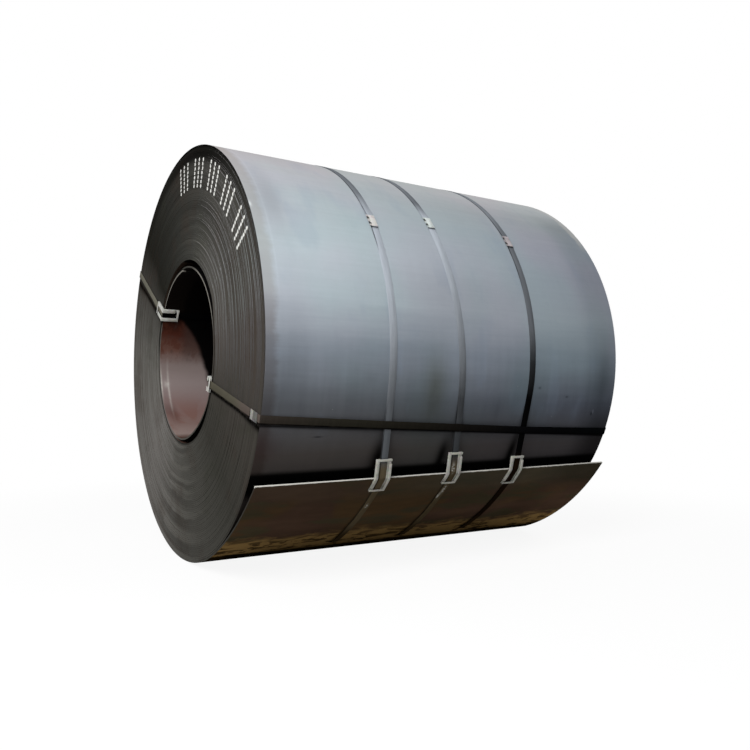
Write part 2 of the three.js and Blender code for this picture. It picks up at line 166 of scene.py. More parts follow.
def geometryTree(name, sizes):  # one input for each size, after the object's own geometry
    tree = bpy.data.node_groups.new(name, "GeometryNodeTree")
    graph = Graph(tree)
    tree.interface.new_socket("Geometry", in_out="OUTPUT", socket_type="NodeSocketGeometry")
    tree.interface.new_socket("Path", in_out="INPUT", socket_type="NodeSocketGeometry")
    kinds = {int: "NodeSocketInt", float: "NodeSocketFloat", bpy.types.Material: "NodeSocketMaterial"}
    for key, value in sizes.items():
        tree.interface.new_socket(key, in_out="INPUT", socket_type=kinds[type(value)])
    given = tree.nodes.new("NodeGroupInput")
    return graph, {key: Wire(graph, given.outputs[key]) for key in ("Path", *sizes)}


def closeTree(graph, geometry):
    out = graph.tree.nodes.new("NodeGroupOutput")
    graph.tree.links.new(geometry.socket, out.inputs[0])
    return graph.tree


def grow(name, tree, sizes, path=None):  # runs a tree and keeps its result as a plain mesh
    piece = bpy.data.objects.new(name, path or bpy.data.meshes.new(name))
    bpy.context.scene.collection.objects.link(piece)
    modifier = piece.modifiers.new("shape", "NODES")
    modifier.node_group = tree
    for item in tree.interface.items_tree:
        if item.in_out == "INPUT" and item.name in sizes:
            modifier[item.identifier] = sizes[item.name]
    grown = bpy.data.meshes.new_from_object(piece.evaluated_get(bpy.context.evaluated_depsgraph_get()))
    piece.modifiers.clear()
    empty = piece.data
    piece.data = grown
    bpy.data.meshes.remove(empty)
    grown.name = name
    return piece


def turnedAbout(graph, place):  # radius, angle in degrees and the parts of a place round the axis
    parts = graph.make("ShaderNodeSeparateXYZ", None, {0: place})
    x, y, z = (parts.also(axis) for axis in "XYZ")
    up = z - axisHeight
    radius = graph.maths("SQRT", y * y + up * up)
    angle = graph.maths("ARCTAN2", up, y * -1.0) * (180 / math.pi)
    return x, y, up, radius, angle


def climbing(graph, up, radius):  # angle above the axis, on the front and the back alike
    return graph.maths("ARCSINE", up / graph.maths("MAXIMUM", radius, 0.1)) * (180 / math.pi)


def radial(angle):  # outward direction at an angle, as y and z
    return Vector((0, -math.cos(math.radians(angle)), math.sin(math.radians(angle))))


def polar(y, up):  # radius, and angle in degrees, of a place round the axis
    return math.hypot(y, up), math.degrees(math.atan2(up, -y))


def middleOf(name):
    low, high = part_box(name)
    return (low + high) / 2


# materials
def newMaterial(name):
    material = bpy.data.materials.new(name)
    material.use_nodes = True
    graph = Graph(material.node_tree)
    place = graph.make("ShaderNodeTexCoord", output="Object")
    return material, graph, place


def surface(graph, colour, roughness, metallic=0.0, bumps=(), specular=0.5):
    normal = None
    for height, distance in bumps:
        sockets = {"Height": height, "Distance": distance, "Strength": 1.0}
        if normal:
            sockets["Normal"] = normal
        normal = graph.make("ShaderNodeBump", None, sockets)
    sockets = {"Base Color": colour, "Roughness": roughness, "Metallic": metallic,
               "Specular IOR Level": specular}
    if normal:
        sockets["Normal"] = normal
    shader = graph.make("ShaderNodeBsdfPrincipled", None, sockets)
    graph.make("ShaderNodeOutputMaterial", None, {"Surface": shader})


stripEnds = (94.0, -31.5)  # angles of the strip's inner end and its outer one
coilSizes = {
    "outerRadius": 0.9171,  # outside of the outermost turn
    "thickness": 0.0075,
    "width": 1.8,
    "crown": 0.0008,  # how far the rounded strip edge stands out
    "turns": 65 - (stripEnds[0] - stripEnds[1]) / 360,
    "headAngle": stripEnds[0],
    "tailAngle": stripEnds[1],
    "segments": 144,  # in one turn
    "dropArc": 0.16,  # share of a turn over which each turn steps down under the next
    "wander": 0.0016,  # turns stand in or out of the ends by this much
    "tailLift": 0.05,
    "liftTurns": 0.2,  # only this last part of a turn can stand off the body
    "curlFrom": -62.0,  # angle where the tail curls off the body
    "curl": 2.0,
    "tailRipple": 0.006,  # unevenness of the curled edge
    "sag": 0.026,  # the far side already hangs clear by this much, lower down
    "sagFrom": -84.0,
    "sagTo": -72.0,
}
innerTurn = {
    "radius": 0.3885,  # inside of the loose inner turn
    "sag": 0.019,  # it bows inwards low on the front
    "sagAngle": -66.0,
    "sagSpread": 30.0,
    "step": 0.008,  # the strip's end dips in by its thickness
    "bodyRadius": 0.3965,
    "upperGap": 0.028,  # crescent over the loose turn, with the angles where it opens and closes
    "upperFrom": (8.0, 32.0),
    "upperTo": (160.0, 128.0),
    "lowerGap": 0.010,
    "lowerAngle": -58.0,
    "lowerSpread": 28.0,
    "merge": 1.25,  # turns from the strip's end to where the body begins
    "merging": 0.1,  # part of a turn over which one radius runs into the next
    "layerFrom": (172.5, 216.5),  # degrees past the tail's edge where the body gains a layer
}
eyeStraps = {
    "eye_strap_front": {
        "bore": (-21.3, -26.7),  # angles on the bore, from the near end to the far one
        "rim": (-17.2, -22.9),  # and outside
        "sealEnd": -1.0,  # the end with the seal
        "shadow": (0.0245, 0.0082),  # on the near end: middle under the strap's, and half width
    },
    "eye_strap_back": {
        "bore": (147.1, 146.3),
        "rim": (148.6, 146.5),
        "sealEnd": 1.0,
        "shadow": (0.040, 0.016),
    },
}
eyeSizes = {"boreRadius": 0.381, "outerRadius": 0.918, "halfWidth": 0.903}


scaleLook = {  # the strip's rolled outer face: blue-grey mill scale
    # two rows of tones that run up the front between these angles, at the near end and the far one; they are
    # painted shade, dark low on the front and light high up, with the far row darker over the middle heights
    "climb": (-50.0, 70.0),
    "nearTones": paints((44, 42, 40), (66, 64, 62), (74, 71, 68), (90, 95, 99), (128, 138, 146),
                        (167, 176, 182), (172, 181, 186), (163, 172, 176), (162, 167, 171),
                        (164, 165, 167), (162, 162, 162)),
    "farTones": paints((48, 48, 48), (68, 67, 69), (74, 72, 73), (87, 94, 104), (127, 137, 147),
                       (149, 156, 164), (145, 152, 161), (150, 155, 164), (158, 161, 165),
                       (186, 186, 188), (194, 194, 194)),
    "cool": paint(238, 251, 251), "mauve": paint(252, 245, 253),  # tints that drift over the scale
    # near-black for painted shade, over the tail's edge and in the gap over the loose inner turn
    "blue": paint(120, 136, 156), "speck": paint(214, 214, 210), "soot": paint(8, 8, 8),
    # soft patches: place and half width along the axis, and up the side in degrees
    "teal": {"paint": paint(80, 104, 106), "x": (0.3, 0.1), "climb": (-8.0, 8.0), "share": 0.3},
    "stain": {"paint": paint(222, 216, 202), "x": (-0.163, 0.05), "climb": (-10.5, 8.0), "share": 0.9},
    "purple": {"paint": paint(58, 46, 46), "x": (-0.88, 0.06), "climb": (-24.0, 4.0), "share": 0.6},
    # worn bands beside the near rim, and a painted highlight high up beside the far rim, which start and are
    # full this far from the end planes
    "nearRim": (0.062, 0.03), "rimHigh": paint(226, 218, 206), "rimLow": paint(220, 212, 208),
    "rimLine": (-0.842, 0.004),
    "farRim": (0.05, 0.03), "pale": paint(188, 189, 188),
}
marks = [  # on the front: place along the axis, angle, half width, half height in degrees, and level
    (-0.81, 37.0, 0.055, 11.0, 0.78), (-0.05, 14.0, 0.32, 9.0, 0.86), (-0.80, -7.0, 0.06, 12.0, 0.82),
    (0.82, -7.0, 0.06, 9.0, 0.66), (-0.896, 34.0, 0.006, 0.8, 1.7), (-0.47, -7.5, 0.03, 1.2, 0.9),
    (0.18, -16.0, 0.02, 3.0, 0.88), (0.587, -12.1, 0.010, 0.35, 0.6), (0.411, -9.6, 0.008, 0.35, 0.5),
    (0.771, -17.2, 0.006, 0.5, 0.4), (0.779, -16.6, 0.005, 0.6, 1.8), (-0.663, -21.7, 0.018, 0.18, 0.35),
]
skinShadows = {
    "underStrap": (-1.4, 0.4),  # middle under the front eye strap, and half width, in degrees
    "strapShare": 0.85,
    "besideGuards": [(-0.378, 0.03), (-0.062, 0.026), (0.325, 0.024)],  # left of each tail protector
    "guardClimb": (-20.0, -28.0),
    "guardShare": 0.92,
    "overTail": (-29.9, -31.6),  # the body goes black behind the tail's edge
    "underTail": (-40.0, -36.0),  # and not lower down
}
tailLook = {  # the loose end: dark oily brown, with a golden band along its foot that is a painted reflection, and black at the very bottom as painted shade
    "brown": paint(74, 58, 40), "purple": paint(70, 54, 44), "olive": paint(68, 61, 46),
    "upper": paint(70, 67, 56), "gold": paint(138, 112, 70), "fleck": paint(30, 20, 11),
    "bare": paint(184, 184, 178), "bareDull": paint(74, 70, 62),
    "oilFrom": (0.30, 0.24),  # turns back from the tail's edge
    # angles over which each band comes in
    "upperBand": (-42.0, -34.0), "goldBand": (-52.5, -58.5), "blackBand": (-64.1, -67.0),
    "paleBand": (-48.5, 5.0),  # middle and half width
}


class RolledFace:  # the places and patterns by which the outer face is painted
    def __init__(self, graph, place):
        self.place = place
        self.x, self.y, up, radius, self.angle = turnedAbout(graph, place)
        self.climb = climbing(graph, up, radius)
        self.front = graph.remap(self.y, 0.2, -0.3)
        self.turn = graph.attribute("turn")
        self.back = coilSizes["turns"] - self.turn  # turns back from the tail's edge
        self.streak = graph.noise(place, 2.6, 4.0, 0.6, stretch=(0.7, 6.0, 6.0))
        self.blotch = graph.noise(place, 2.6, 4.0, 0.5, 0.4)
        self.mottle = graph.noise(place, 34.0, 5.0, 0.6)


def patched(graph, face, tone, spot, side=1.0, blend="MIX"):
    near = graph.bell(face.x, *spot["x"]) * graph.bell(face.climb, *spot["climb"]) * side
    return graph.mix(near * spot["share"], tone, spot["paint"], blend)


def scaleTone(graph, face):  # the scale's colours with painted shade up the front and along the coil, and faint marks of rolling and handling
    look, x, climb = scaleLook, face.x, face.climb
    wide = graph.noise(face.place, 1.1, 2.0, 0.5)
    # the borders between tones wander, and less so low down
    unrest = (face.streak - 0.5) * 7.0 + (wide - 0.5) * 8.0
    shade = climb + unrest * graph.remap(climb, -24.0, 4.0, 0.12, 1.0)
    across = graph.remap(x + (wide - 0.5) * 0.3, -0.6, 0.7, kind="LINEAR")
    # painted shade: tones by height on the front, blended from the near end to the far one
    nearTone, farTone = (graph.ramp(shade, *look["climb"], look[row]) for row in ("nearTones", "farTones"))
    tone = graph.mix(across, nearTone, farTone)
    drift = graph.remap(graph.noise(face.place, 1.7, 2.0), 0.38, 0.62)
    tone = graph.mix(0.5, tone, graph.mix(drift, look["cool"], look["mauve"]), "MULTIPLY")
    # faint hoops round the coil, fine brushing along it and a mottle
    hoops = graph.noise(face.place, 2.2, 3.0, 0.55, stretch=(9.0, 0.7, 0.7))
    hooped = graph.remap(climb, 8.0, -8.0, 0.05, 0.3) * graph.remap(climb, -15.0, -23.0, 1.0, 0.3)
    brushed = graph.noise(face.place, 3.0, 3.0, 0.6, stretch=(0.8, 26.0, 26.0))
    worn = (hoops - 0.5) * hooped + (brushed - 0.5) * 0.09 + (face.mottle - 0.5) * 0.06
    tone = graph.scaled(tone, 1.0 + worn)
    patches = graph.noise(face.place, 3.3, 3.0, 0.5, stretch=(2.2, 1.0, 1.0))
    blue = graph.remap(patches, 0.54, 0.7, 0.0, 0.16) * graph.remap(climb, -24.0, -14.0)
    tone = graph.mix(blue, tone, look["blue"])
    tone = patched(graph, face, tone, look["teal"], face.front)
    for spot, height, wideness, tallness, level in marks:
        near = graph.bell(x, spot, wideness) * graph.bell(climb, height, tallness) * face.front
        tone = graph.scaled(tone, graph.remap(near, 0.0, 1.0, 1.0, level, "LINEAR"))
    return patched(graph, face, tone, look["stain"], face.front, "MULTIPLY")


def addRims(graph, face, tone):  # worn bands beside the near rim, a painted highlight along the far rim and painted shade on the far side
    look, x, climb = scaleLook, face.x, face.climb
    ragged = x + ((face.streak - 0.5) * 0.045 + (face.mottle - 0.5) * 0.02)
    nearRim = graph.remap(ragged, *(-endPlane + inside for inside in look["nearRim"]))
    farRim = graph.remap(ragged, *(endPlane - inside for inside in look["farRim"]))
    line = graph.bell(x, *look["rimLine"]) * graph.remap(climb, 4.0, 20.0)
    tone = graph.scaled(tone, 1.0 + line * 0.05)
    tone = graph.mix(nearRim * graph.remap(climb, 4.0, 14.0) * 0.6, tone, look["rimHigh"], "MULTIPLY")
    tone = graph.mix(nearRim * graph.remap(climb, 14.0, 4.0), tone, look["rimLow"], "MULTIPLY")
    tone = patched(graph, face, tone, look["purple"])
    # painted highlight: pale along the far rim high up
    tone = graph.mix(farRim * graph.remap(climb, 33.0, 42.0) * 0.8, tone, look["pale"])
    # painted shade: the far end darker high on the front and much darker low down
    tone = graph.darker(tone, graph.remap(x, 0.62, 0.8) * graph.remap(climb, 56.0, 44.0) * 0.18)
    return graph.darker(tone, graph.remap(x, 0.66, 0.86) * graph.remap(climb, -12.0, -24.0) * 0.6)


def addShadows(graph, face, tone):  # under the eye strap, beside the protectors and over the tail's edge
    look, rim = skinShadows, eyeStraps["eye_strap_front"]["rim"]
    under = face.angle - graph.remap(face.x, -endPlane, endPlane, *rim, "LINEAR")
    tone = graph.darker(tone, graph.bell(under, *look["underStrap"]) * look["strapShare"])
    beside = graph.remap(face.climb, *look["guardClimb"]) * face.front
    for left, halfWidth in look["besideGuards"]:
        tone = graph.darker(tone, graph.bell(face.x, left, halfWidth) * beside * look["guardShare"])
    overTail = graph.remap(face.climb, *look["overTail"]) * graph.remap(face.angle, *look["underTail"])
    return graph.mix(overTail * face.front * (face.back > 0.2), tone, scaleLook["soot"])


def tailTone(graph, face):  # brown above; a golden painted reflection with flecks below, and painted shade black at the foot
    look, x, angle = tailLook, face.x, face.angle
    along = graph.noise(face.place, 3.4, 4.0, 0.6, stretch=(1.0, 4.0, 4.0))
    tone = graph.mix(graph.remap(face.blotch, 0.42, 0.58), look["brown"], look["purple"])
    tone = graph.mix(graph.remap(along, 0.5, 0.62), tone, look["olive"])
    upper = graph.remap(angle, *look["upperBand"]) * graph.remap(x, -0.6, 0.1, 0.2, 0.75)
    tone = graph.mix(upper, tone, look["upper"])
    tone = graph.scaled(tone, graph.remap(along, 0.3, 0.7, 1.15, 0.8, "LINEAR"))
    flecks = graph.noise(face.place, 12.0, 6.0, 0.64, 0.9, stretch=(0.7, 2.0, 2.0))
    low = graph.remap(angle + (flecks - 0.5) * 13.0 + (face.blotch - 0.5) * 8.0, *look["goldBand"])
    # painted reflection: the golden band low on the tail
    tone = graph.mix(low, tone, look["gold"])
    tone = graph.mix(graph.remap(flecks, 0.5, 0.56) * low * 0.85, tone, look["fleck"])
    # painted shade: black at the tail's foot
    tone = graph.scaled(tone, graph.remap(angle, *look["blackBand"], 1.0, 0.06))
    tone = graph.scaled(tone, graph.remap(x, 0.0, 0.6, 1.0, 1.2))
    farEnd = graph.remap(angle, -36.0, -45.0, -0.3, 0.4) * graph.remap(x, 0.5, 0.75)
    pale = graph.bell(angle, *look["paleBand"]) * graph.remap(x, 0.6, 0.4)
    return graph.scaled(tone, 1.0 + farEnd + pale * 0.28)


def scaleMaterial():
    material, graph, place = newMaterial("millScale")
    face = RolledFace(graph, place)
    tone = addShadows(graph, face, addRims(graph, face, scaleTone(graph, face)))
    specks = graph.noise(place, 120.0, 1.0, 0.5)
    tone = graph.mix(graph.remap(specks, 0.82, 0.85, 0.0, 0.3), tone, scaleLook["speck"])
    # painted shade: black in the gap over the loose inner turn
    tone = graph.mix(face.turn < 2.2, tone, scaleLook["soot"])  # the gap over the loose inner turn
    loose = graph.remap(face.back + (face.blotch - 0.5) * 0.05, *tailLook["oilFrom"])
    tone = graph.mix(loose, tone, tailTone(graph, face))
    shine = graph.noise(place, 2.0, 3.0, 0.7, stretch=(16.0, 1.0, 1.0))
    bare = graph.mix(graph.remap(shine, 0.48, 0.66), tailLook["bareDull"], tailLook["bare"])
    tone = graph.mix(graph.remap(face.back, 0.0006, 0.0003), tone, bare)  # the tail's cut edge
    roughness = 0.46 + (face.blotch - 0.5) * 0.1 + loose * 0.1
    metallic = graph.remap(face.climb, -8.0, 12.0, 0.0, 0.15)
    waves = graph.noise(place, 2.4, 2.0, stretch=(2.0, 1.0, 1.0))
    surface(graph, tone, roughness, metallic, [(waves, 0.002), (face.mottle, 0.00012)], 0.0)
    return material


endMark = {  # a row of plain dotted bars, high on the near end
    "from": 28.0,  # angles
    "to": 97.0,
    "pitch": 3.6,
    "inside": 0.735,  # radii
    "outside": 0.865,
    "dots": 7,
    "dotRadius": 0.0078,
    "blur": 0.0012,
    "group": 4,  # columns, with the last one left empty
}


def dottedBars(graph, x, radius, angle, wear):  # 1 on the dots
    column = (angle - endMark["from"]) / endMark["pitch"]
    height = (endMark["outside"] - endMark["inside"]) / endMark["dots"]
    row = (radius - endMark["inside"]) / height
    sideways = (graph.maths("FRACT", column) - 0.5) * radius * math.radians(endMark["pitch"])
    outwards = (graph.maths("FRACT", row) - 0.5) * height
    distance = graph.maths("SQRT", sideways * sideways + outwards * outwards) + (wear - 0.5) * 0.005
    dotRadius, blur = endMark["dotRadius"], endMark["blur"]
    dot = graph.remap(distance, dotRadius + blur, dotRadius - blur)
    inRow = (row > 0.0) * (row < float(endMark["dots"]))
    inBand = (angle > endMark["from"]) * (angle < endMark["to"])
    grouped = graph.maths("FRACT", graph.maths("FLOOR", column) / endMark["group"]) < 0.7
    return dot * inRow * inBand * grouped * (x < 0.0)


def strapShadow(graph, eye, x, y, up):  # 1 just under an eye strap on the coil's near end
    nearBore, nearRim = (radial(eye[key][0]) * eyeSizes[size]
                         for key, size in (("bore", "boreRadius"), ("rim", "outerRadius")))
    along = (nearRim - nearBore).normalized()
    down = Vector((0, along.z, -along.y)) * (-1 if along.y < 0 else 1)
    below = (y - nearBore.y) * down.y + (up - nearBore.z) * down.z
    reach = y * along.y + up * along.z
    grown = graph.remap(reach, 0.7, 0.9) * 0.008
    return graph.bell(below, eye["shadow"][0] + grown, eye["shadow"][1] + grown) * (reach > 0.0) * (x < 0.0)


edgeLook = {  # the strip's narrow edges, which make up the two ends
    # once round from the back, under the coil, past the front and over the top
    "round": paints((102, 101, 97), (114, 112, 109), (80, 79, 75), (56, 55, 51), (64, 60, 56),
                    (60, 59, 56), (50, 50, 47), (33, 33, 30), (102, 101, 97)),
    "brown": paint(56, 46, 40), "olive": paint(44, 46, 37), "bare": paint(190, 188, 182),
    # near-black for painted shade in the gap round the loose inner turn and on the strip's inner end
    "soot": paint(8, 8, 7), "ring": paint(116, 113, 107), "white": paint(222, 222, 218),
    # middle angle and half width, or the radii between which it grows
    "rippleBelow": (-97.0, 18.0), "rippleAbove": (72.0, 30.0),
    "rimDark": (75.0, 48.0), "rimFrom": (0.835, 0.875),
    "lastTurns": (60.0, 85.0), "lastFrom": (0.900, 0.913),
    "innerLight": (44.0, 44.0), "lightFrom": (0.66, 0.47),
    "ringBack": (-178.0, 9.0), "gapBack": (142.0, 16.0), "gapMiddle": (168.0, 8.0), "gap": (0.418, 0.4),
}


def edgeMaterial():
    look = edgeLook
    material, graph, place = newMaterial("stripEdge")
    x, y, up, radius, angle = turnedAbout(graph, place)
    turn = graph.attribute("turn")
    blotch = graph.noise(place, 4.0, 4.0, 0.6)
    grain = graph.noise(place, 90.0, 3.0, 0.6)
    tone = graph.ramp(angle + (blotch - 0.5) * 12.0, -180.0, 180.0, look["round"])
    tone = graph.mix(graph.remap(blotch, 0.5, 0.68, 0.0, 0.3), tone, look["brown"])
    tone = graph.mix(graph.remap(blotch, 0.46, 0.3, 0.0, 0.25), tone, look["olive"])
    # single turns and groups of turns, and soft ripples of light under the bore and over it
    fine = graph.rings(turn, 2.3, 2.0, 0.7)
    broad = graph.rings(turn, 0.34, 2.0, 0.5)
    waves = graph.rings(radius + (blotch - 0.5) * 0.06, 19.0, 1.0, 0.5)
    crests = graph.remap(waves, 0.48, 0.6) - graph.remap(waves, 0.5, 0.38) * 0.6
    rippled = graph.bell(angle, *look["rippleBelow"]) * 0.85 + graph.bell(angle, *look["rippleAbove"]) * 0.34
    rings = (fine - 0.5) * 0.34 + (broad - 0.5) * 0.44 + crests * rippled
    tone = graph.scaled(tone, graph.remap(rings + (grain - 0.5) * 0.4, -0.4, 0.4, 0.8, 1.22, "LINEAR"))
    ragged = radius + (blotch - 0.5) * 0.02
    rimDark = graph.bell(angle, *look["rimDark"]) * graph.remap(ragged, *look["rimFrom"])
    lastTurns = graph.remap(radius, *look["lastFrom"]) * graph.bell(angle, *look["lastTurns"])
    innerLight = graph.bell(angle, *look["innerLight"]) * graph.remap(radius, *look["lightFrom"])
    tone = graph.darker(graph.darker(tone, rimDark * 0.8), lastTurns * 0.6)
    tone = graph.scaled(tone, 1.0 + innerLight * 0.42)
    # the loose inner turn with a painted highlight along its edge, high up and at the back; painted shade
    # black in the gap round it and on the strip's inner end
    ringLight = graph.remap(up, 0.05, 0.2, 0.05, 0.9) + graph.bell(angle, *look["ringBack"]) * 0.8
    tone = graph.mix(graph.remap(turn, 0.95, 0.9) * ringLight, tone, look["ring"])
    wide = graph.bell(angle, *look["gapBack"]) * 0.02 + graph.bell(angle, *look["gapMiddle"]) * 0.014
    gap = (turn > 1.0) * graph.remap(radius - wide, *look["gap"])
    tone = graph.mix(gap * 0.8, tone, look["soot"])
    innerEnd = (turn < 0.002) * (graph.maths("ABSOLUTE", x) < endPlane - 0.02)
    tone = graph.mix(innerEnd * 0.9, tone, look["soot"])
    tone = graph.mix(dottedBars(graph, x, radius, angle, grain) * 0.85, tone, look["white"])
    for eye in eyeStraps.values():
        tone = graph.darker(tone, strapShadow(graph, eye, x, y, up) * 0.96)
    back = coilSizes["turns"] - turn
    tone = graph.mix(graph.remap(back, 0.0012, 0.0008), tone, look["bare"])
    surface(graph, tone, 0.65 + (grain - 0.5) * 0.2, 0.0, [(grain, 0.0003)], 0.0)
    return material


boreLook = {  # inside of the bore: painted shade that is black above and deep in, stained pinkish grey and rust below
    # down the back and under, between these angles; 90 is above, 180 at the back, 270 below; the first,
    # near-black tones high up are painted shade
    "lap": (148.0, 262.0),
    "round": paints((14, 10, 8), (66, 34, 26), (92, 66, 58), (118, 106, 103), (128, 116, 114),
                    (121, 105, 103), (114, 91, 87), (117, 97, 92), (134, 118, 113), (60, 46, 40)),
    "rust": paint(108, 74, 64), "darkRust": paint(74, 40, 30), "ash": paint(58, 50, 48),
    # near-black for the painted shadow high up and deep in the bore
    "pale": paint(186, 182, 176), "soot": paint(4, 3, 3), "tail": paint(60, 48, 40),
    # near the mouth: angle and half height, depth and half width
    "shade": (221.0, 7.0), "spot": ((227.0, 7.0), (0.045, 0.022)),
    "innerLine": ((204.0, 16.0), (0.040, 0.005)), "bright": ((199.5, 2.6), (0.030, 0.014)),
    "mouthLine": (199.0, 9.0),
    # painted shadow: the bore goes black past this depth
    "dark": (0.232, 0.262),  # depth at which the bore goes black
}


def boreMaterial():
    look = boreLook
    material, graph, place = newMaterial("boreFace")
    x, y, up, radius, angle = turnedAbout(graph, place)
    blotch = graph.noise(place, 7.0, 4.0, 0.6, 0.5)
    streak = graph.noise(place, 2.0, 4.0, stretch=(1.2, 6.0, 6.0))
    grain = graph.noise(place, 60.0, 4.0, 0.6)
    depth = endPlane - graph.maths("ABSOLUTE", x)  # from the nearer end
    lap = graph.maths("WRAP", angle, 360.0, 0.0)
    tone = graph.ramp(lap + (streak - 0.5) * 12.0, *look["lap"], look["round"])
    # stains: rust low down, dark rust and ash above
    rusty = graph.remap(blotch, 0.48, 0.62, 0.0, 0.5) * graph.remap(lap, 200.0, 235.0)
    tone = graph.mix(rusty, tone, look["rust"])
    upper = graph.remap(lap, 187.0, 172.0) * graph.remap(lap, 148.0, 154.0)
    patches = graph.noise(place, 19.0, 4.0, 0.6, stretch=(1.6, 1.0, 1.0))
    tone = graph.mix(graph.remap(patches, 0.5, 0.6, 0.0, 0.55) * upper, tone, look["darkRust"])
    tone = graph.mix(graph.remap(patches, 0.44, 0.36, 0.0, 0.4) * upper, tone, look["ash"])
    tone = graph.mix(graph.remap(depth, 0.09, 0.14, 0.0, 0.55) * upper, tone, look["ash"])
    # painted shade near the mouth, a dark rust spot, and painted highlights in pale lines there
    tone = graph.darker(tone, graph.bell(lap, *look["shade"]) * graph.remap(depth, 0.07, 0.03) * 0.25)
    spot, inner, bright = (graph.bell(lap, *look[key][0]) * graph.bell(depth, *look[key][1])
                           for key in ("spot", "innerLine", "bright"))
    tone = graph.mix(spot * 0.5, tone, look["darkRust"])
    broken = graph.remap(grain, 0.3, 0.55, 0.6, 1.0)
    mouth = graph.bell(lap, *look["mouthLine"]) * graph.remap(depth, 0.014, 0.007)
    tone = graph.mix((mouth * 0.75 + inner * 0.5 + bright * 0.45) * broken, tone, look["pale"])
    # the light reaches deeper low down
    higher = graph.remap(lap, 200.0, 150.0, kind="LINEAR")
    inwards = depth + higher * higher * 0.15 + (streak - 0.5) * 0.03
    tone = graph.mix(graph.remap(inwards, *look["dark"]), tone, look["soot"])
    tone = graph.mix(graph.attribute("turn") > 2.0, tone, look["tail"])  # the tail's inner face
    surface(graph, tone, 0.5 + (grain - 0.5) * 0.2, 0.05, [(grain, 0.0004)], 0.03)
    return material


strapFinish = {
    # near-black for painted shade: a strap's shadowed edge, the slot at the tongue's end and inside the bore
    "soot": paint(5, 5, 6), "glint": paint(190, 190, 184), "foot": paint(50, 38, 22),
    "climb": (-32.0, 56.0),  # angles between which a belly strap's tones run
    "slot": (0.0358, 0.0042),  # painted shadow where the free tongue ends, from the seal's middle
}


def eyeStrapTone(graph, look, place, wear):  # along the coil, and on the ends
    x, y, up, radius, angle = turnedAbout(graph, place)
    # painted shade: the eye strap darkens towards the far end
    tone = graph.ramp(x + (wear - 0.5) * 0.1, -endPlane, endPlane, paints(*look["tones"]))
    onEnds = graph.mix(graph.remap(radius, 0.66, 0.78), paint(*look["onEnds"]), paint(*look["atRim"]))
    outside = graph.remap(graph.maths("ABSOLUTE", x), endPlane - 0.001, endPlane + 0.0005)
    tone = graph.mix(outside, tone, onEnds)
    # painted shade: the strap goes black inside the bore
    return graph.mix(graph.remap(radius, 0.40, 0.388), tone, strapFinish["soot"])


def bellyStrapTone(graph, look, place, wear, across):  # up the front, and on the tail
    x, y, up, radius, angle = turnedAbout(graph, place)
    climb = climbing(graph, up, radius)
    front = graph.remap(y, -0.1, -0.3)
    blued = paints(*((level * 0.96, level, min(255, level * 1.05)) for level in look["tones"]))
    # painted shade: belly strap tones by height up the front
    tone = graph.ramp(climb + (wear - 0.5) * 4.0, *strapFinish["climb"], blued)
    onTail = graph.remap(climb, -26.5, -30.0) * front
    tone = graph.mix(onTail, tone, paint(*look["onTail"]))
    tone = graph.mix(onTail * graph.remap(climb, -50.0, -57.0, 0.0, 0.85), tone, strapFinish["foot"])
    broken = graph.remap(graph.noise(place, 110.0, 2.0), 0.42, 0.52) * front
    # painted glints
    for height, tall, side, wide in look["glints"]:
        spot = graph.bell(climb, height, tall) * graph.bell(across, side, wide)
        tone = graph.mix(spot * broken, tone, strapFinish["glint"])
    upper = graph.remap(climb, look["edgeAbove"], look["edgeAbove"] + 6.0)
    return tone, graph.maths("MAXIMUM", upper, graph.remap(climb, -12.0, -18.0))


def strapMaterial(name, look):  # blued strapping
    material, graph, place = newMaterial(name)
    wear = graph.noise(place, 16.0, 4.0, 0.6)
    across = graph.attribute("across")
    if "onEnds" in look:
        tone, edged = eyeStrapTone(graph, look, place, wear), 1.0
    else:
        tone, edged = bellyStrapTone(graph, look, place, wear, across)
    streak = graph.noise(place, 3.0, 4.0, stretch=(30.0, 3.0, 3.0))
    tone = graph.scaled(tone, graph.remap(streak, 0.25, 0.75, 0.88, 1.13, "LINEAR"))
    # painted shadow line along the strap's edge
    shadowEdge = graph.remap(across, -0.62, -0.8, 0.0, look["edge"]) * edged
    tone = graph.mix(shadowEdge * graph.remap(wear, 0.3, 0.6, 0.6, 1.0), tone, strapFinish["soot"])
    slot = graph.bell(graph.attribute("fromSeal"), *strapFinish["slot"])
    tone = graph.mix(slot, tone, strapFinish["soot"])
    surface(graph, tone, 0.5 + (wear - 0.5) * 0.2, 0.0, [(wear, 0.0001)], 0.0)
    return material


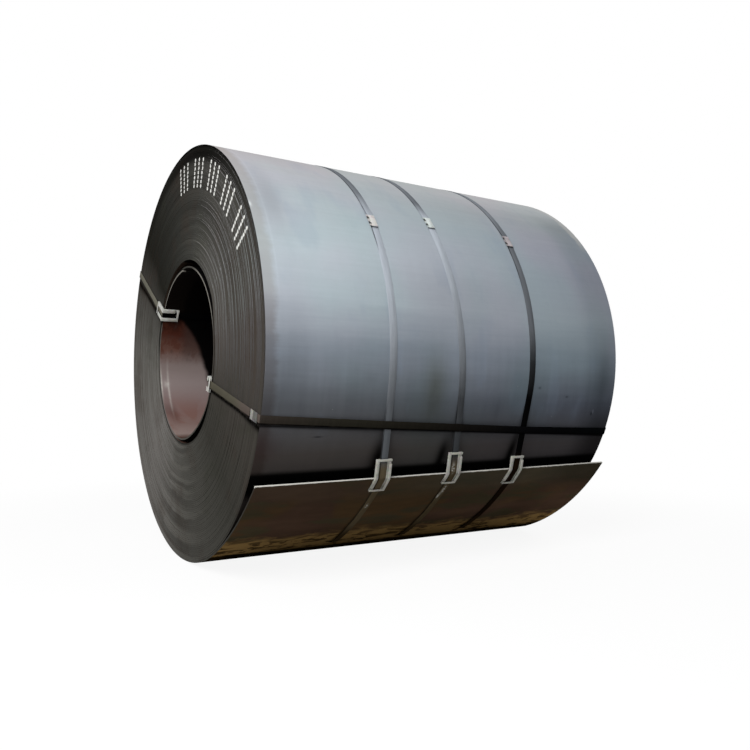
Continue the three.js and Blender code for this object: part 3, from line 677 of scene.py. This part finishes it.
def zincMaterial(name, bright, tint, seal=""):  # seals and edge protectors
    worn, notch = paint(104, 94, 82), paint(20, 19, 19)
    zinc, dull = (paint(*((bright - less) * share for share in tint)) for less in (0, 34))
    material, graph, place = newMaterial(name)
    spangle = graph.make("ShaderNodeTexVoronoi", None, {"Vector": place, "Scale": 190.0}, "Color")
    patch = graph.noise(place, 24.0, 4.0, 0.6)
    tone = graph.mix(graph.remap(patch, 0.4, 0.7), zinc, dull)
    tone = graph.mix(0.06, tone, spangle)
    tone = graph.mix(graph.remap(patch, 0.62, 0.74, 0.0, 0.5), tone, worn)
    if seal:
        x, y, up, radius, angle = turnedAbout(graph, place)
        middle = middleOf(seal)
        middleRadius, middleAngle = polar(middle.y, middle.z - axisHeight)
    if seal.startswith("belly"):  # two bites, dark on the side away from the light
        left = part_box(seal)[0].x
        chips = graph.noise(place, 85.0, 2.0, 0.6)
        side = graph.remap(x + (chips - 0.5) * 0.012, left + 0.0105, left + 0.0075)
        bites = graph.bell(angle, middleAngle + 0.9, 0.35) + graph.bell(angle, middleAngle - 0.9, 0.35)
        tone = graph.mix(side * (0.35 + bites), tone, notch)
    if seal.startswith("eye"):  # brighter at the end nearer the bore, streaked and dull beyond
        streaked = 0.16 + graph.rings(radius, 330.0) * 0.4
        level = graph.remap(radius, middleRadius - 0.005, middleRadius - 0.011, streaked, 1.12)
        tone = graph.scaled(tone, level)
    surface(graph, tone, 0.5 + (patch - 0.5) * 0.3, 0.1, [(patch, 0.0002)], 0.2)
    return material


skin, edge, bore = scaleMaterial(), edgeMaterial(), boreMaterial()
zincs = {
    "tail_protector": zincMaterial("guardZinc", 172, (1.0, 1.0, 0.95)),
    "bore_protector": zincMaterial("boreGuardZinc", 186, (1.0, 1.0, 0.97)),
    "belly_seal_1": zincMaterial("sealZincWarm", 196, (1.0, 0.985, 0.975), "belly_seal_1"),
    "belly_seal_2": zincMaterial("sealZincGreen", 212, (0.96, 1.0, 0.985), "belly_seal_2"),
    "belly_seal_3": zincMaterial("sealZincPink", 180, (1.0, 0.95, 0.96), "belly_seal_3"),
    "eye_seal": zincMaterial("eyeSealZinc", 125, (1.0, 1.0, 0.96), "eye_seal_front"),
}
print("materials made")


# the wound strip
def turnShape(graph, given, turn):  # radius of the strip's outer face, and the angle, after so many turns
    angle = given["headAngle"] + turn * 360.0
    back = given["turns"] - turn
    whole = graph.maths("FLOOR", back)
    drop = graph.remap(back - whole, 0.0, given["dropArc"])
    bow = graph.bell(angle, innerTurn["sagAngle"], innerTurn["sagSpread"]) * innerTurn["sag"]
    merging = innerTurn["merging"]
    ring = innerTurn["radius"] - bow - graph.remap(turn, merging, 0.0) * innerTurn["step"]
    ring = ring + graph.remap(turn, 1.0, 1.0 + merging) * innerTurn["step"]
    fromBelow = graph.maths("WRAP", angle, 270.0, -90.0)
    crescent = graph.remap(fromBelow, *innerTurn["upperFrom"]) * graph.remap(fromBelow, *innerTurn["upperTo"])
    lower = graph.bell(angle, innerTurn["lowerAngle"], innerTurn["lowerSpread"])
    hole = innerTurn["bodyRadius"] + crescent * innerTurn["upperGap"] + lower * innerTurn["lowerGap"]
    sinceTail = graph.maths("WRAP", angle - given["tailAngle"], 360.0, 0.0)
    layers = math.floor(coilSizes["turns"]) - 2 + graph.remap(sinceTail, *innerTurn["layerFrom"])
    layers = layers - graph.remap(sinceTail, 360.0 * (1 - coilSizes["dropArc"]), 360.0)
    pitch = (given["outerRadius"] - given["thickness"] - hole) / layers
    body = given["outerRadius"] + pitch * (1.0 - whole - drop)
    inBody = graph.remap(turn, innerTurn["merge"] - merging, innerTurn["merge"])
    return graph.blend(inBody, ring + given["thickness"], body), angle


def stripTree():
    sizes = {**coilSizes, "fromTurn": 0.0, "toTurn": 1.0, "cuts": 0,
             "scaleFace": skin, "stripEdge": edge, "boreFace": bore}
    graph, given = geometryTree("woundStrip", sizes)
    count = graph.maths("CEIL", (given["toTurn"] - given["fromTurn"]) * given["segments"]) + 1.0
    line = graph.make("GeometryNodeMeshLine", None, {"Count": count})
    index = graph.make("GeometryNodeInputIndex")
    turn = graph.maths("MINIMUM", given["fromTurn"] + index / given["segments"], given["toTurn"])
    stored = graph.make("GeometryNodeStoreNamedAttribute", {"data_type": "FLOAT", "domain": "POINT"},
                        {"Geometry": line, "Name": "turn", "Value": turn})
    known = graph.make("GeometryNodeInputNamedAttribute", {"data_type": "FLOAT"}, {"Name": "turn"})
    face, angle = turnShape(graph, given, known)
    middle = face - given["thickness"] / 2.0
    radians = angle * (math.pi / 180)
    spot = graph.vector(0.0, middle * graph.maths("COSINE", radians) * -1.0,
                        middle * graph.maths("SINE", radians) + axisHeight)
    path = graph.make("GeometryNodeSetPosition", None, {"Geometry": stored, "Position": spot})
    path = graph.make("GeometryNodeMeshToCurve", None, {"Mesh": path})
    path = graph.make("GeometryNodeSetCurveNormal", {"mode": "FREE"},
                      {"Curve": path, "Normal": (1.0, 0.0, 0.0)})
    # section: a six-sided loop stretched to the strip's width, with crowned edges
    loop = graph.make("GeometryNodeCurvePrimitiveCircle", None, {"Resolution": 6, "Radius": 1.0})
    at = graph.make("ShaderNodeSeparateXYZ", None, {0: graph.make("GeometryNodeInputPosition")})
    inset = (1.0 - graph.maths("ABSOLUTE", at)) * 2.0 * given["crown"]
    wide = graph.maths("SIGN", at) * (given["width"] / 2.0 - inset)
    thick = at.also("Y") * given["thickness"] * (0.5 / math.sin(math.pi / 3))
    section = graph.make("GeometryNodeSetPosition", None,
                         {"Geometry": loop, "Position": graph.vector(wide, thick, 0.0)})
    section = graph.make("GeometryNodeSubdivideCurve", None, {"Curve": section, "Cuts": given["cuts"]})
    strip = graph.make("GeometryNodeCurveToMesh", None,
                       {"Curve": path, "Profile Curve": section, "Fill Caps": True})
    # the tail lifts off the body
    place = graph.make("GeometryNodeInputPosition")
    x, y, up, radius, _ = turnedAbout(graph, place)
    back = given["turns"] - known
    tailTurn = given["tailAngle"] - back * 360.0
    across = graph.remap(x, given["width"] * -0.5, given["width"] * 0.5, kind="LINEAR")
    sag = across * given["sag"]
    hang = graph.remap(tailTurn, given["sagFrom"], given["sagTo"]) * sag
    pastCurl = (tailTurn - given["curlFrom"]) / (given["tailAngle"] - given["curlFrom"])
    openTo = graph.maths("MAXIMUM", pastCurl, 0.0)
    ripple = (graph.rings(x, 3.1, 2.0) - 0.5) * openTo * openTo * given["tailRipple"]
    lift = openTo ** given["curl"] * (given["tailLift"] - sag) + hang + ripple
    lift = lift * (back < given["liftTurns"])
    # single turns and groups of turns stray a little along the axis
    single = (graph.rings(known, 1.9, 3.0, 0.8) - 0.5) * 2.2
    groups = (graph.rings(known, 0.23, 1.0) - 0.5) * 1.6
    stray = graph.maths("MAXIMUM", graph.maths("MINIMUM", single + groups, 1.0), -1.0) * given["wander"]
    offset = graph.vector(stray, y / radius * lift, up / radius * lift)
    strip = graph.make("GeometryNodeSetPosition", None, {"Geometry": strip, "Offset": offset})
    strip = graph.make("GeometryNodeRealizeInstances", None, {"Geometry": strip})
    normal = graph.make("GeometryNodeInputNormal")
    outward = graph.vector(0.0, y / radius, up / radius)
    facing = graph.vectors("DOT_PRODUCT", normal, outward, output="Value")
    # faces that look outwards are scale, those that look inwards are the bore's, and the rest are edges
    strip = graph.make("GeometryNodeSetMaterial", None, {"Geometry": strip, "Material": given["stripEdge"]})
    strip = graph.make("GeometryNodeSetMaterial", None,
                       {"Geometry": strip, "Selection": facing > 0.6, "Material": given["scaleFace"]})
    strip = graph.make("GeometryNodeSetMaterial", None,
                       {"Geometry": strip, "Selection": facing < -0.6, "Material": given["boreFace"]})
    return closeTree(graph, strip), sizes


def smoothed(mesh, degrees):  # smooth faces, with sharp edges where they meet at more than this
    for polygon in mesh.polygons:
        polygon.use_smooth = True
    mesh.set_sharp_from_angle(angle=math.radians(degrees))


def windStrip():
    tree, sizes = stripTree()
    lastTurn = coilSizes["turns"]
    seam = lastTurn - 1 - coilSizes["dropArc"]
    lapCuts = 9  # points across the outer lap's width, so that the tail can twist
    inner = grow("woundTurns", tree, {**sizes, "fromTurn": 0.0, "toTurn": seam, "cuts": 0})
    outer = grow("outerLap", tree, {**sizes, "fromTurn": seam, "toTurn": lastTurn, "cuts": lapCuts})
    joined = bmesh.new()
    joined.from_mesh(inner.data)
    joined.from_mesh(outer.data)
    joined.to_mesh(inner.data)
    joined.free()
    bpy.data.objects.remove(outer)
    smoothed(inner.data, 40)
    inner.name = "coilStrip"
    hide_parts("coil")
    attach(inner, "root")
    return inner


strip = windStrip()
print("strip wound:", len(strip.data.polygons), "faces")

# straps
strapSizes = {
    "width": 0.034,
    "thickness": 0.0008,
    "corner": 0.0003,  # rounding of the strap's edges
    "bend": 0.006,  # how far from a corner the strap starts to bend
    "seat": -0.00015,  # the lower layer lies this much under the middle of the solid strap
    "bodyRadius": 0.9179,  # middle of a strap lying on the body
    "stepDown": 0.02,  # length over which the upper layer comes down to the lower
    "station": 0.03,  # longest stretch between two points of the path
    "underSeal": 0.05,  # the lower layer's end, back from the seal's middle
    "bellyTongue": 0.043,  # the upper layer's free end, past the seal's middle
    "eyeTongue": 0.125,
    "solidHalf": 0.0005,  # half the thickness of the solid strap
    "standsOff": 0.92,  # corners of the solid strap outside this radius lie on the tail and the protectors
    "bothEdges": 0.02,  # corners at one angle and further apart than this lie on both its edges
    "hangFrom": -120.0,  # from here to where the tail curls, a belly strap follows the hanging sheet
}
# tones up the front for a belly strap and along the coil for an eye strap, painted shade that darkens low
# down and towards the far end; how black the left edge is, a painted shadow line; painted glints by a
# protector: angle, half height, place across the strap and half width
strapLooks = {
    "belly_strap_1": {
        "tones": (84, 92, 100, 136, 162, 168, 168, 158, 110, 106), "edge": 0.75, "edgeAbove": 23.0,
        "onTail": (90, 80, 62), "glints": [(-41.5, 0.6, 0.1, 0.3)],
    },
    "belly_strap_2": {
        "tones": (60, 66, 68, 116, 139, 156, 166, 176, 104, 118), "edge": 0.8, "edgeAbove": 40.0,
        "onTail": (82, 72, 54),
        "glints": [(-30.2, 1.0, -0.1, 0.4), (-37.2, 1.4, 0.2, 0.35), (-39.8, 1.0, -0.3, 0.3)],
    },
    "belly_strap_3": {
        "tones": (7, 7, 8, 46, 100, 102, 106, 106, 126, 130), "edge": 0.7, "edgeAbove": 16.0,
        "onTail": (28, 19, 11), "glints": [],
    },
    "eye_strap_front": {
        "tones": ((52, 47, 43), (42, 40, 34), (34, 32, 27), (24, 22, 20), (13, 13, 15), (9, 10, 12),
                  (9, 12, 13)),
        "onEnds": (76, 73, 63), "atRim": (82, 74, 69), "edge": 0.95,
    },
    "eye_strap_back": {
        "tones": ((52, 47, 43), (42, 40, 34), (34, 32, 27)),
        "onEnds": (104, 102, 92), "atRim": (104, 102, 92), "edge": 0.9,
    },
}


def spread(low, high, share):
    return low + (high - low) * share


def hull(points):  # outline round flat points, anticlockwise
    points = sorted(set(points))
    sides = []
    for run in (points, points[::-1]):
        side = []
        for point in run:
            while len(side) > 1 and ((side[-1][0] - side[-2][0]) * (point[1] - side[-2][1])
                                     <= (side[-1][1] - side[-2][1]) * (point[0] - side[-2][0])):
                side.pop()
            side.append(point)
        sides += side[:-1]
    return [Vector(point) for point in sides]


def softened(loop, reach, sharp=9.0, steps=5):  # corners sharper than so many degrees become short bends
    rounded = []
    for index, corner in enumerate(loop):
        before, after = loop[index - 1] - corner, loop[(index + 1) % len(loop)] - corner
        if 180 - math.degrees(before.angle(after)) < sharp:
            rounded.append(corner)
            continue
        a, b = (corner + side.normalized() * min(reach, side.length * 0.45) for side in (before, after))
        for step in range(steps + 1):
            t = step / steps
            rounded.append(a * (1 - t) ** 2 + corner * 2 * t * (1 - t) + b * t ** 2)
    return rounded


def stationed(loop, step):  # long runs get points in between
    points = []
    for index, start in enumerate(loop):
        end = loop[(index + 1) % len(loop)]
        count = max(1, math.ceil((end - start).length / step))
        points += [start.lerp(end, k / count) for k in range(count)]
    return points


# an open path that starts under the seal, goes once round the loop and ends on top of its start
def strapPath(name, loop, acrosses, sealAt, tongue):
    count = len(loop)
    lengths = [0.0]
    for index in range(count):
        lengths.append(lengths[-1] + (loop[(index + 1) % count] - loop[index]).length)
    whole = lengths[-1]
    corners = [lengths[k % count] + whole * (k // count) for k in range(-count, 3 * count)]
    start, end = sealAt - strapSizes["underSeal"], sealAt + whole + tongue
    onTop = start + whole
    risesAt = onTop - strapSizes["stepDown"]
    mesh = bpy.data.meshes.new(name)
    points, sideways, seals = [], [], []
    for mark in sorted([corner for corner in corners if start < corner < end] + [start, end, risesAt, onTop]):
        turn = mark % whole
        index = max(k for k in range(count) if lengths[k] <= turn)
        following = (index + 1) % count
        share = (turn - lengths[index]) / (lengths[index + 1] - lengths[index])
        across = acrosses[index].lerp(acrosses[following], share).normalized()
        tangent = (loop[following] - loop[index]).normalized()
        if share < 1e-6:  # at a corner, halfway between its two sides
            tangent = (tangent + (loop[index] - loop[index - 1]).normalized()).normalized()
        out = tangent.cross(across).normalized()
        rise = min(1, max(0, (mark - risesAt) / strapSizes["stepDown"])) * strapSizes["thickness"]
        points.append(loop[index].lerp(loop[following], share) + out * (strapSizes["seat"] + rise))
        sideways.append(across)
        seals.append(mark - sealAt if mark - sealAt < whole / 2 else mark - sealAt - whole)
    mesh.from_pydata(points, [(k, k + 1) for k in range(len(points) - 1)], [])
    mesh.attributes.new("sideways", "FLOAT_VECTOR", "POINT").data.foreach_set(
        "vector", [part for vector in sideways for part in vector])
    mesh.attributes.new("fromSeal", "FLOAT", "POINT").data.foreach_set("value", seals)
    return mesh


def strapTree():
    sizes = {"width": strapSizes["width"], "thickness": strapSizes["thickness"],
             "corner": strapSizes["corner"], "finish": skin}  # each strap brings its own finish
    graph, given = geometryTree("tautStrap", sizes)
    path = graph.make("GeometryNodeMeshToCurve", None, {"Mesh": given["Path"]})
    sideways = graph.make("GeometryNodeInputNamedAttribute", {"data_type": "FLOAT_VECTOR"},
                          {"Name": "sideways"})
    path = graph.make("GeometryNodeSetCurveNormal", {"mode": "FREE"}, {"Curve": path, "Normal": sideways})
    section = graph.make("GeometryNodeCurvePrimitiveQuadrilateral", None,
                         {"Width": given["width"], "Height": given["thickness"]})
    section = graph.make("GeometryNodeFilletCurve", {"mode": "POLY"},
                         {"Curve": section, "Radius": given["corner"], "Count": 2})
    at = graph.make("ShaderNodeSeparateXYZ", None, {0: graph.make("GeometryNodeInputPosition")})
    section = graph.make("GeometryNodeStoreNamedAttribute", {"data_type": "FLOAT", "domain": "POINT"},
                         {"Geometry": section, "Name": "across", "Value": at * 2.0 / given["width"]})
    band = graph.make("GeometryNodeCurveToMesh", None,
                      {"Curve": path, "Profile Curve": section, "Fill Caps": True})
    band = graph.make("GeometryNodeRealizeInstances", None, {"Geometry": band})
    band = graph.make("GeometryNodeSetMaterial", None, {"Geometry": band, "Material": given["finish"]})
    return closeTree(graph, band), sizes


def rows(node):  # corners of a solid strap: place along the axis, radius and angle
    places = (vertex.co for vertex in node.data.vertices)
    return [(place.x, *polar(place.y, place.z - axisHeight)) for place in places]


def hangingRadius(x, angle):  # middle of a strap on the tail, where the sheet already hangs clear
    share = min(1, max(0, (angle - coilSizes["sagFrom"]) / (coilSizes["sagTo"] - coilSizes["sagFrom"])))
    hang = share * share * (3 - 2 * share) * coilSizes["sag"] * (x / coilSizes["width"] + 0.5)
    return strapSizes["bodyRadius"] + hang


def bellyLoop(name):  # once round the coil, downwards over the front
    corners = rows(nodes[name])
    high = [(radius - strapSizes["solidHalf"], angle)
            for _, radius, angle in corners if radius > strapSizes["standsOff"]]
    segments = coilSizes["segments"]
    ring = [(strapSizes["bodyRadius"], 360 * step / segments) for step in range(segments)]
    outline = hull([tuple((radial(angle) * radius).yz) for radius, angle in high + ring])
    outline = softened([Vector((0, *point)) for point in outline], strapSizes["bend"])
    outline = stationed(outline, strapSizes["station"])
    middles = {}
    for x, _, angle in corners:
        middles.setdefault(round(angle, 1), []).append(x)
    stops = sorted((angle, (min(xs) + max(xs)) / 2)
                   for angle, xs in middles.items() if max(xs) - min(xs) > strapSizes["bothEdges"])
    stops = [(stops[-1][0] - 360, stops[-1][1])] + stops + [(stops[0][0] + 360, stops[0][1])]
    loop = []
    for point in outline:
        _, angle = polar(point.y, point.z)
        k = max(index for index in range(len(stops) - 1) if stops[index][0] <= angle)
        share = (angle - stops[k][0]) / (stops[k + 1][0] - stops[k][0])
        x = spread(stops[k][1], stops[k + 1][1], share)
        if strapSizes["hangFrom"] < angle < coilSizes["curlFrom"]:
            point = point * min(1, hangingRadius(x, angle) / point.length)
        loop.append(Vector((x, point.y, point.z + axisHeight)))
    return loop, [Vector((1, 0, 0))] * len(loop)


def eyeLoop(name):  # along the coil outside and back through the bore
    eye = eyeStraps[name]
    half = strapSizes["width"] / 2
    flat = [(x, math.sqrt(max(radius ** 2 - half ** 2, 0))) for x, radius, _ in rows(nodes[name])]
    outline = [Vector((x, 0, radius)) for x, radius in hull(flat)]
    inset = []
    for index, corner in enumerate(outline):
        before = (corner - outline[index - 1]).normalized()
        after = (outline[(index + 1) % len(outline)] - corner).normalized()
        inward = Vector((-before.z - after.z, 0, before.x + after.x))
        inset.append(corner + inward / (1 + before.dot(after)) * strapSizes["solidHalf"])
    outline = stationed(softened(inset, strapSizes["bend"]), strapSizes["station"])
    if eye["sealEnd"] > 0:
        outline.reverse()
    loop, acrosses = [], []
    for point in outline:
        share = min(1, max(0, point.x / (2 * eyeSizes["halfWidth"]) + 0.5))
        atBore, atRim = (radial(spread(*eye[key], share)) for key in ("bore", "rim"))
        inner, outer = eyeSizes["boreRadius"], eyeSizes["outerRadius"]
        if point.z <= inner:
            centre = atBore * point.z
        elif point.z >= outer:
            centre = atRim * point.z
        else:
            centre = (atBore * inner).lerp(atRim * outer, (point.z - inner) / (outer - inner))
        loop.append(centre + Vector((point.x, 0, axisHeight)))
        acrosses.append(Vector((0, centre.z, -centre.y)).normalized() * -eye["sealEnd"])
    return loop, acrosses


def nearestMark(loop, spot):  # length along the loop to its point nearest a spot
    gone, found = 0.0, []
    for index, start in enumerate(loop):
        side = loop[(index + 1) % len(loop)] - start
        share = min(1, max(0, (spot - start).dot(side) / side.length_squared))
        found.append(((start + side * share - spot).length, gone + side.length * share))
        gone += side.length
    return min(found)[1]


def layStrap(name, tree, sizes):
    throughBore = name in eyeStraps
    loop, acrosses = (eyeLoop if throughBore else bellyLoop)(name)
    mark = nearestMark(loop, middleOf(name.replace("strap", "seal")))
    path = strapPath(name, loop, acrosses, mark, strapSizes["eyeTongue" if throughBore else "bellyTongue"])
    finish = strapMaterial(name.replace("_", ""), strapLooks[name])
    bandName = name.replace("belly_strap_", "bellyBand").replace("eye_strap_", "eyeBand")
    return grow(bandName, tree, {**sizes, "finish": finish}, path)


strapShape, strapInputs = strapTree()
for name in strapLooks:
    band = layStrap(name, strapShape, strapInputs)
    smoothed(band.data, 50)
    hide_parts(name)
    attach(band, "root")
print("straps laid")


# seals and edge protectors: the solids with softened edges
softening = {
    "seal": 0.00035,  # width of the rolled edges
    "protector": 0.0006,
    "weld": 1e-5,  # corners nearer than this are one
    "flat": 2,  # degrees between faces that count as one
    "sharpFrom": 30,  # degrees past which an edge is rolled
}


def softenedCopy(name, bevel, finish):
    mesh = nodes[name].data.copy()
    shape = bmesh.new()
    shape.from_mesh(mesh)
    bmesh.ops.remove_doubles(shape, verts=shape.verts, dist=softening["weld"])
    bmesh.ops.dissolve_limit(shape, angle_limit=math.radians(softening["flat"]),
                             verts=shape.verts, edges=shape.edges)
    closed = [edge for edge in shape.edges if edge.is_manifold]
    sharpFrom = math.radians(softening["sharpFrom"])
    sharp = [edge for edge in closed if edge.calc_face_angle() > sharpFrom]
    bmesh.ops.bevel(shape, geom=sharp, offset=bevel, segments=2, profile=0.5,
                    affect="EDGES", clamp_overlap=True)
    shape.to_mesh(mesh)
    shape.free()
    smoothed(mesh, 50)
    mesh.materials.clear()
    mesh.materials.append(finish)
    piece = bpy.data.objects.new(name.replace("_", "-"), mesh)
    bpy.context.scene.collection.objects.link(piece)
    return piece


for name in list(nodes):
    for start, finish in zincs.items():
        if name.startswith(start):
            bevel = softening["seal" if "seal" in name else "protector"]
            piece = softenedCopy(name, bevel, finish)
            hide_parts(name)
            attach(piece, "root")
print("seals and protectors softened")

# floor, light and camera
studio = {
    "floorSize": 60.0, "floorPaint": paint(172, 170, 167), "floorSeen": paint(250, 250, 250),
    "clearFrom": (1.4, 3.6),  # distances over which the floor fades to plain white
    "clearest": 0.9,
    "skyOnObject": 0.36,
    "lamps": {  # place, aim, size and power
        "key": ((-3.3, -2.6, 3.3), (-0.2, -0.2, 0.9), 3.0, 235),
        "fill": ((4.3, 2.3, 1.1), (0.4, 0.3, 0.9), 3.0, 130),
    },
    "lens": 34.37,
    "cameraPlace": (-1.8854, -3.1934, 0.7275),
    "cameraTurn": (91.73, 0, -32.122),  # degrees
}


def seenDirectly(graph):  # 1 where the camera, a reflection or a refraction looks
    path = graph.make("ShaderNodeLightPath", output="Is Camera Ray")
    both = graph.maths("MAXIMUM", path, path.also("Is Glossy Ray"))
    return graph.maths("MAXIMUM", both, path.also("Is Transmission Ray"))


def buildStudio():
    world = bpy.data.worlds.new("studio")
    world.use_nodes = True
    bpy.context.scene.world = world
    graph = Graph(world.node_tree)
    strength = graph.remap(seenDirectly(graph), 0.0, 1.0, studio["skyOnObject"], 1.0, "LINEAR")
    sky = graph.make("ShaderNodeBackground", None, {"Color": (1.0, 1.0, 1.0, 1.0), "Strength": strength})
    graph.make("ShaderNodeOutputWorld", None, {"Surface": sky})

    material, graph, place = newMaterial("paleFloor")
    parts = graph.make("ShaderNodeSeparateXYZ", None, {0: place})
    far = graph.maths("SQRT", parts * parts + parts.also("Y") * parts.also("Y"))
    tone = graph.mix(seenDirectly(graph), studio["floorPaint"], studio["floorSeen"])
    ground = graph.make("ShaderNodeBsdfDiffuse", None, {"Color": tone})
    plain = graph.make("ShaderNodeEmission", None, {"Color": (1.0, 1.0, 1.0, 1.0), "Strength": 1.0})
    clear = graph.remap(far, *studio["clearFrom"], studio["clearest"]) * seenDirectly(graph)
    both = graph.make("ShaderNodeMixShader", None, {0: clear, 1: ground, 2: plain})
    graph.make("ShaderNodeOutputMaterial", None, {"Surface": both})
    half = studio["floorSize"] / 2
    mesh = bpy.data.meshes.new("floor")
    corners = [(-half, -half, 0), (half, -half, 0), (half, half, 0), (-half, half, 0)]
    mesh.from_pydata(corners, [], [(0, 1, 2, 3)])
    mesh.materials.append(material)
    floor = bpy.data.objects.new("floor", mesh)
    bpy.context.scene.collection.objects.link(floor)


def addLamp(name, place, aim, size, power):
    data = bpy.data.lights.new(name, "AREA")
    data.shape = "DISK"
    data.size = size
    data.energy = power
    lamp = bpy.data.objects.new(name, data)
    lamp.location = place
    lamp.rotation_euler = (Vector(aim) - Vector(place)).to_track_quat("-Z", "Y").to_euler()
    bpy.context.scene.collection.objects.link(lamp)


def addCamera():
    data = bpy.data.cameras.new("camera")
    data.lens = studio["lens"]
    camera = bpy.data.objects.new("camera", data)
    camera.location = studio["cameraPlace"]
    camera.rotation_euler = [math.radians(turn) for turn in studio["cameraTurn"]]
    bpy.context.scene.collection.objects.link(camera)
    bpy.context.scene.camera = camera


buildStudio()
for name, lamp in studio["lamps"].items():
    addLamp(name, *lamp)
addCamera()
print("studio ready")
